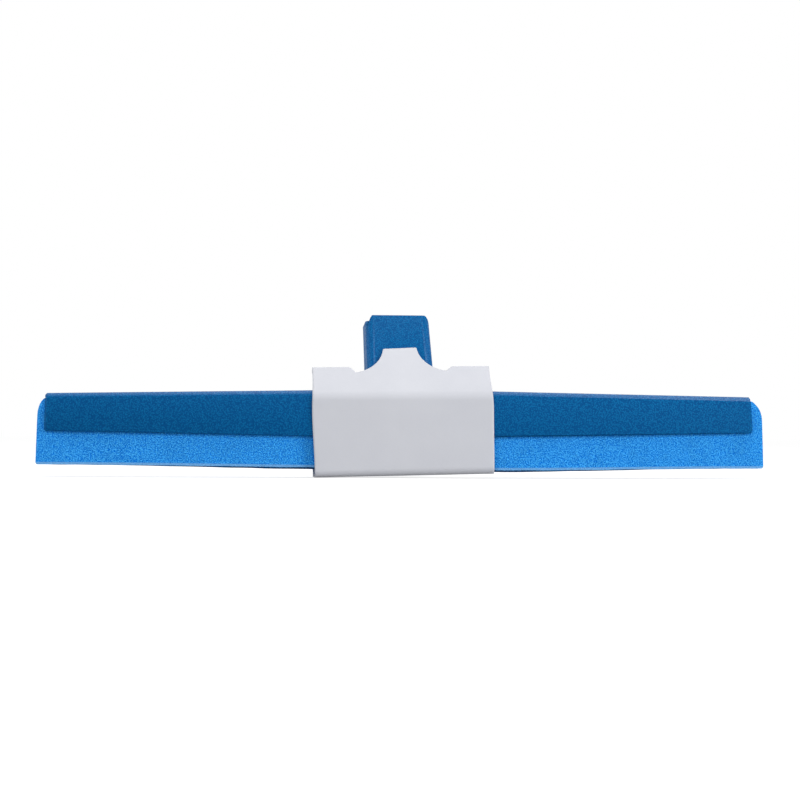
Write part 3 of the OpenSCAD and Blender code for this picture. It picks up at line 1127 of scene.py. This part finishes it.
@dataclass
class Fittings:
    """The spacer strip and the screws, whose shapes are right as they are."""

    spacer: PlainPlastic = field(default_factory=lambda: PlainPlastic(
        "plain_deep_blue", colour=(0.003, 0.06, 0.19), scuffed=(0.01, 0.09, 0.25)))
    screw: ZincSteel = field(default_factory=lambda: ZincSteel(
        "zinc_steel", bright=(0.62, 0.63, 0.66), dull=(0.42, 0.43, 0.45)))

    def build(self) -> None:
        """Dresses the two nodes."""
        for node, finish in (("spacer_strip", self.spacer), ("clamp_screws", self.screw)):
            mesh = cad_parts[node].data
            material = finish.material()
            mesh.materials.clear()
            mesh.materials.append(material)
            log.info("dressed %s", node)


# ---------------------------------------------------------------- studio


@dataclass(frozen=True)
class Lamp:
    """A soft rectangular lamp that faces the head; place is measured from the head."""

    name: str
    place: tuple[float, float, float]
    size: tuple[float, float]
    power: float
    aim_height: float = 25 * MM

    def build(self) -> None:
        """Adds the lamp."""
        data = bpy.data.lights.new(self.name, "AREA")
        data.shape = "RECTANGLE"
        data.size, data.size_y = self.size
        data.energy = self.power
        lamp = bpy.data.objects.new(self.name, data)
        place = Vector(self.place)
        turn = (-place).to_track_quat("-Z", "Y").to_matrix().to_4x4()
        target = BLADE.point(0, 0, self.aim_height)
        lamp.matrix_world = Matrix.Translation(target + place) @ turn
        bpy.context.scene.collection.objects.link(lamp)


LAMPS = (
    Lamp("overhead", (0.1, -0.12, 1.3), (1.1, 0.12), 9),
    Lamp("front_high", (-0.2, -1.3, 0.9), (1.2, 0.7), 6),
    Lamp("front_left", (-1.1, -1.3, 0.6), (0.9, 0.9), 2.5),
    Lamp("front_right", (1.4, -0.8, 0.3), (0.7, 0.7), 15),
    Lamp("left_side", (-1.5, -0.15, 0.15), (0.35, 0.8), 4),
    Lamp("left_high", (-1.1, 0.45, 0.75), (0.3, 0.3), 4),
)


@dataclass
class Studio:
    """Pale floor, soft lamps, white surround and the camera."""

    distance: float = 1.6
    azimuth: float = math.radians(-5)
    roll: float = math.radians(0.35)
    lens: float = 116.4
    aim: tuple[float, float] = (-0.6 * MM, 40.5 * MM)
    sensor: float = 36.0
    fill: float = 0.45
    floor_size: float = 12.0
    floor_gap: float = 0.3 * MM
    floor_base: float = 0.45
    floor_glow: float = 0.68
    floor_near: float = 0.5
    floor_far: float = 1.8

    def camera(self) -> None:
        """Sets up the camera."""
        data = bpy.data.cameras.new("camera")
        data.lens = self.lens
        data.sensor_width = self.sensor
        target = BLADE.point(self.aim[0], 0, self.aim[1])
        toward = Vector((math.sin(self.azimuth), -math.cos(self.azimuth), 0))
        camera = bpy.data.objects.new("camera", data)
        turn = (-toward).to_track_quat("-Z", "Y").to_matrix().to_4x4()
        camera.matrix_world = (Matrix.Translation(target + toward * self.distance)
                               @ turn @ Matrix.Rotation(self.roll, 4, "Z"))
        bpy.context.scene.collection.objects.link(camera)
        bpy.context.scene.camera = camera

    def floor_material(self) -> bpy.types.Material:
        """Makes the floor's finish, which turns pure white away from the head.

        Returns:
            The finished material.
        """
        d = Dressing("pale_floor")
        away = d.node("ShaderNodeVectorMath", operation="LENGTH")
        d.join(d.place, away.inputs[0])
        reach = away.outputs["Value"]
        base = d.ramp(reach, self.floor_base, 0.0, self.floor_near, self.floor_far)
        glow = d.ramp(reach, self.floor_glow, 1.0, self.floor_near, self.floor_far)
        shader = d.shader.inputs
        shader["Roughness"].default_value = 0.9
        shader["Specular IOR Level"].default_value = 0.0
        shader["Emission Color"].default_value = (1, 1, 1, 1)
        d.join(base, shader["Base Color"])
        d.join(d.maths("MULTIPLY", d.seen_directly(), glow), shader["Emission Strength"])
        return d.material

    def floor(self) -> None:
        """Adds the pale floor, which keeps the head's shadow."""
        bm = bmesh.new()
        bmesh.ops.create_grid(bm, x_segments=1, y_segments=1, size=self.floor_size)
        level = CAD_BOX[0][2] - self.floor_gap
        bmesh.ops.translate(bm, verts=bm.verts, vec=(0, 0, level))
        floor = finished("floor", bm)
        floor.data.materials.append(self.floor_material())

    def world(self) -> None:
        """Sets the surround: white where it is seen, soft grey as a light."""
        world = bpy.data.worlds.new("surround")
        world.use_nodes = True
        nodes = NodeTree(world.node_tree)
        nodes.tree.nodes.clear()
        back = nodes.node("ShaderNodeBackground")
        back.inputs["Color"].default_value = (1, 1, 1, 1)
        strength = nodes.ramp(nodes.seen_directly(), self.fill, 1.0)
        nodes.join(strength, back.inputs["Strength"])
        out = nodes.node("ShaderNodeOutputWorld")
        nodes.join(back.outputs[0], out.inputs["Surface"])
        bpy.context.scene.world = world

    def build(self) -> None:
        """Builds the camera, floor, lamps and surround."""
        self.camera()
        self.floor()
        for lamp in LAMPS:
            lamp.build()
        self.world()
        bpy.context.scene.view_settings.view_transform = "Standard"


def main() -> None:
    """Builds every sub-assembly in order."""
    logging.basicConfig(level=logging.INFO)
    Studio().build()
    Patterns.build()
    MouldedShells().build()
    FoamLips().build()
    CardSleeve().build()
    Fittings().build()


if __name__ == "__main__":
    main()
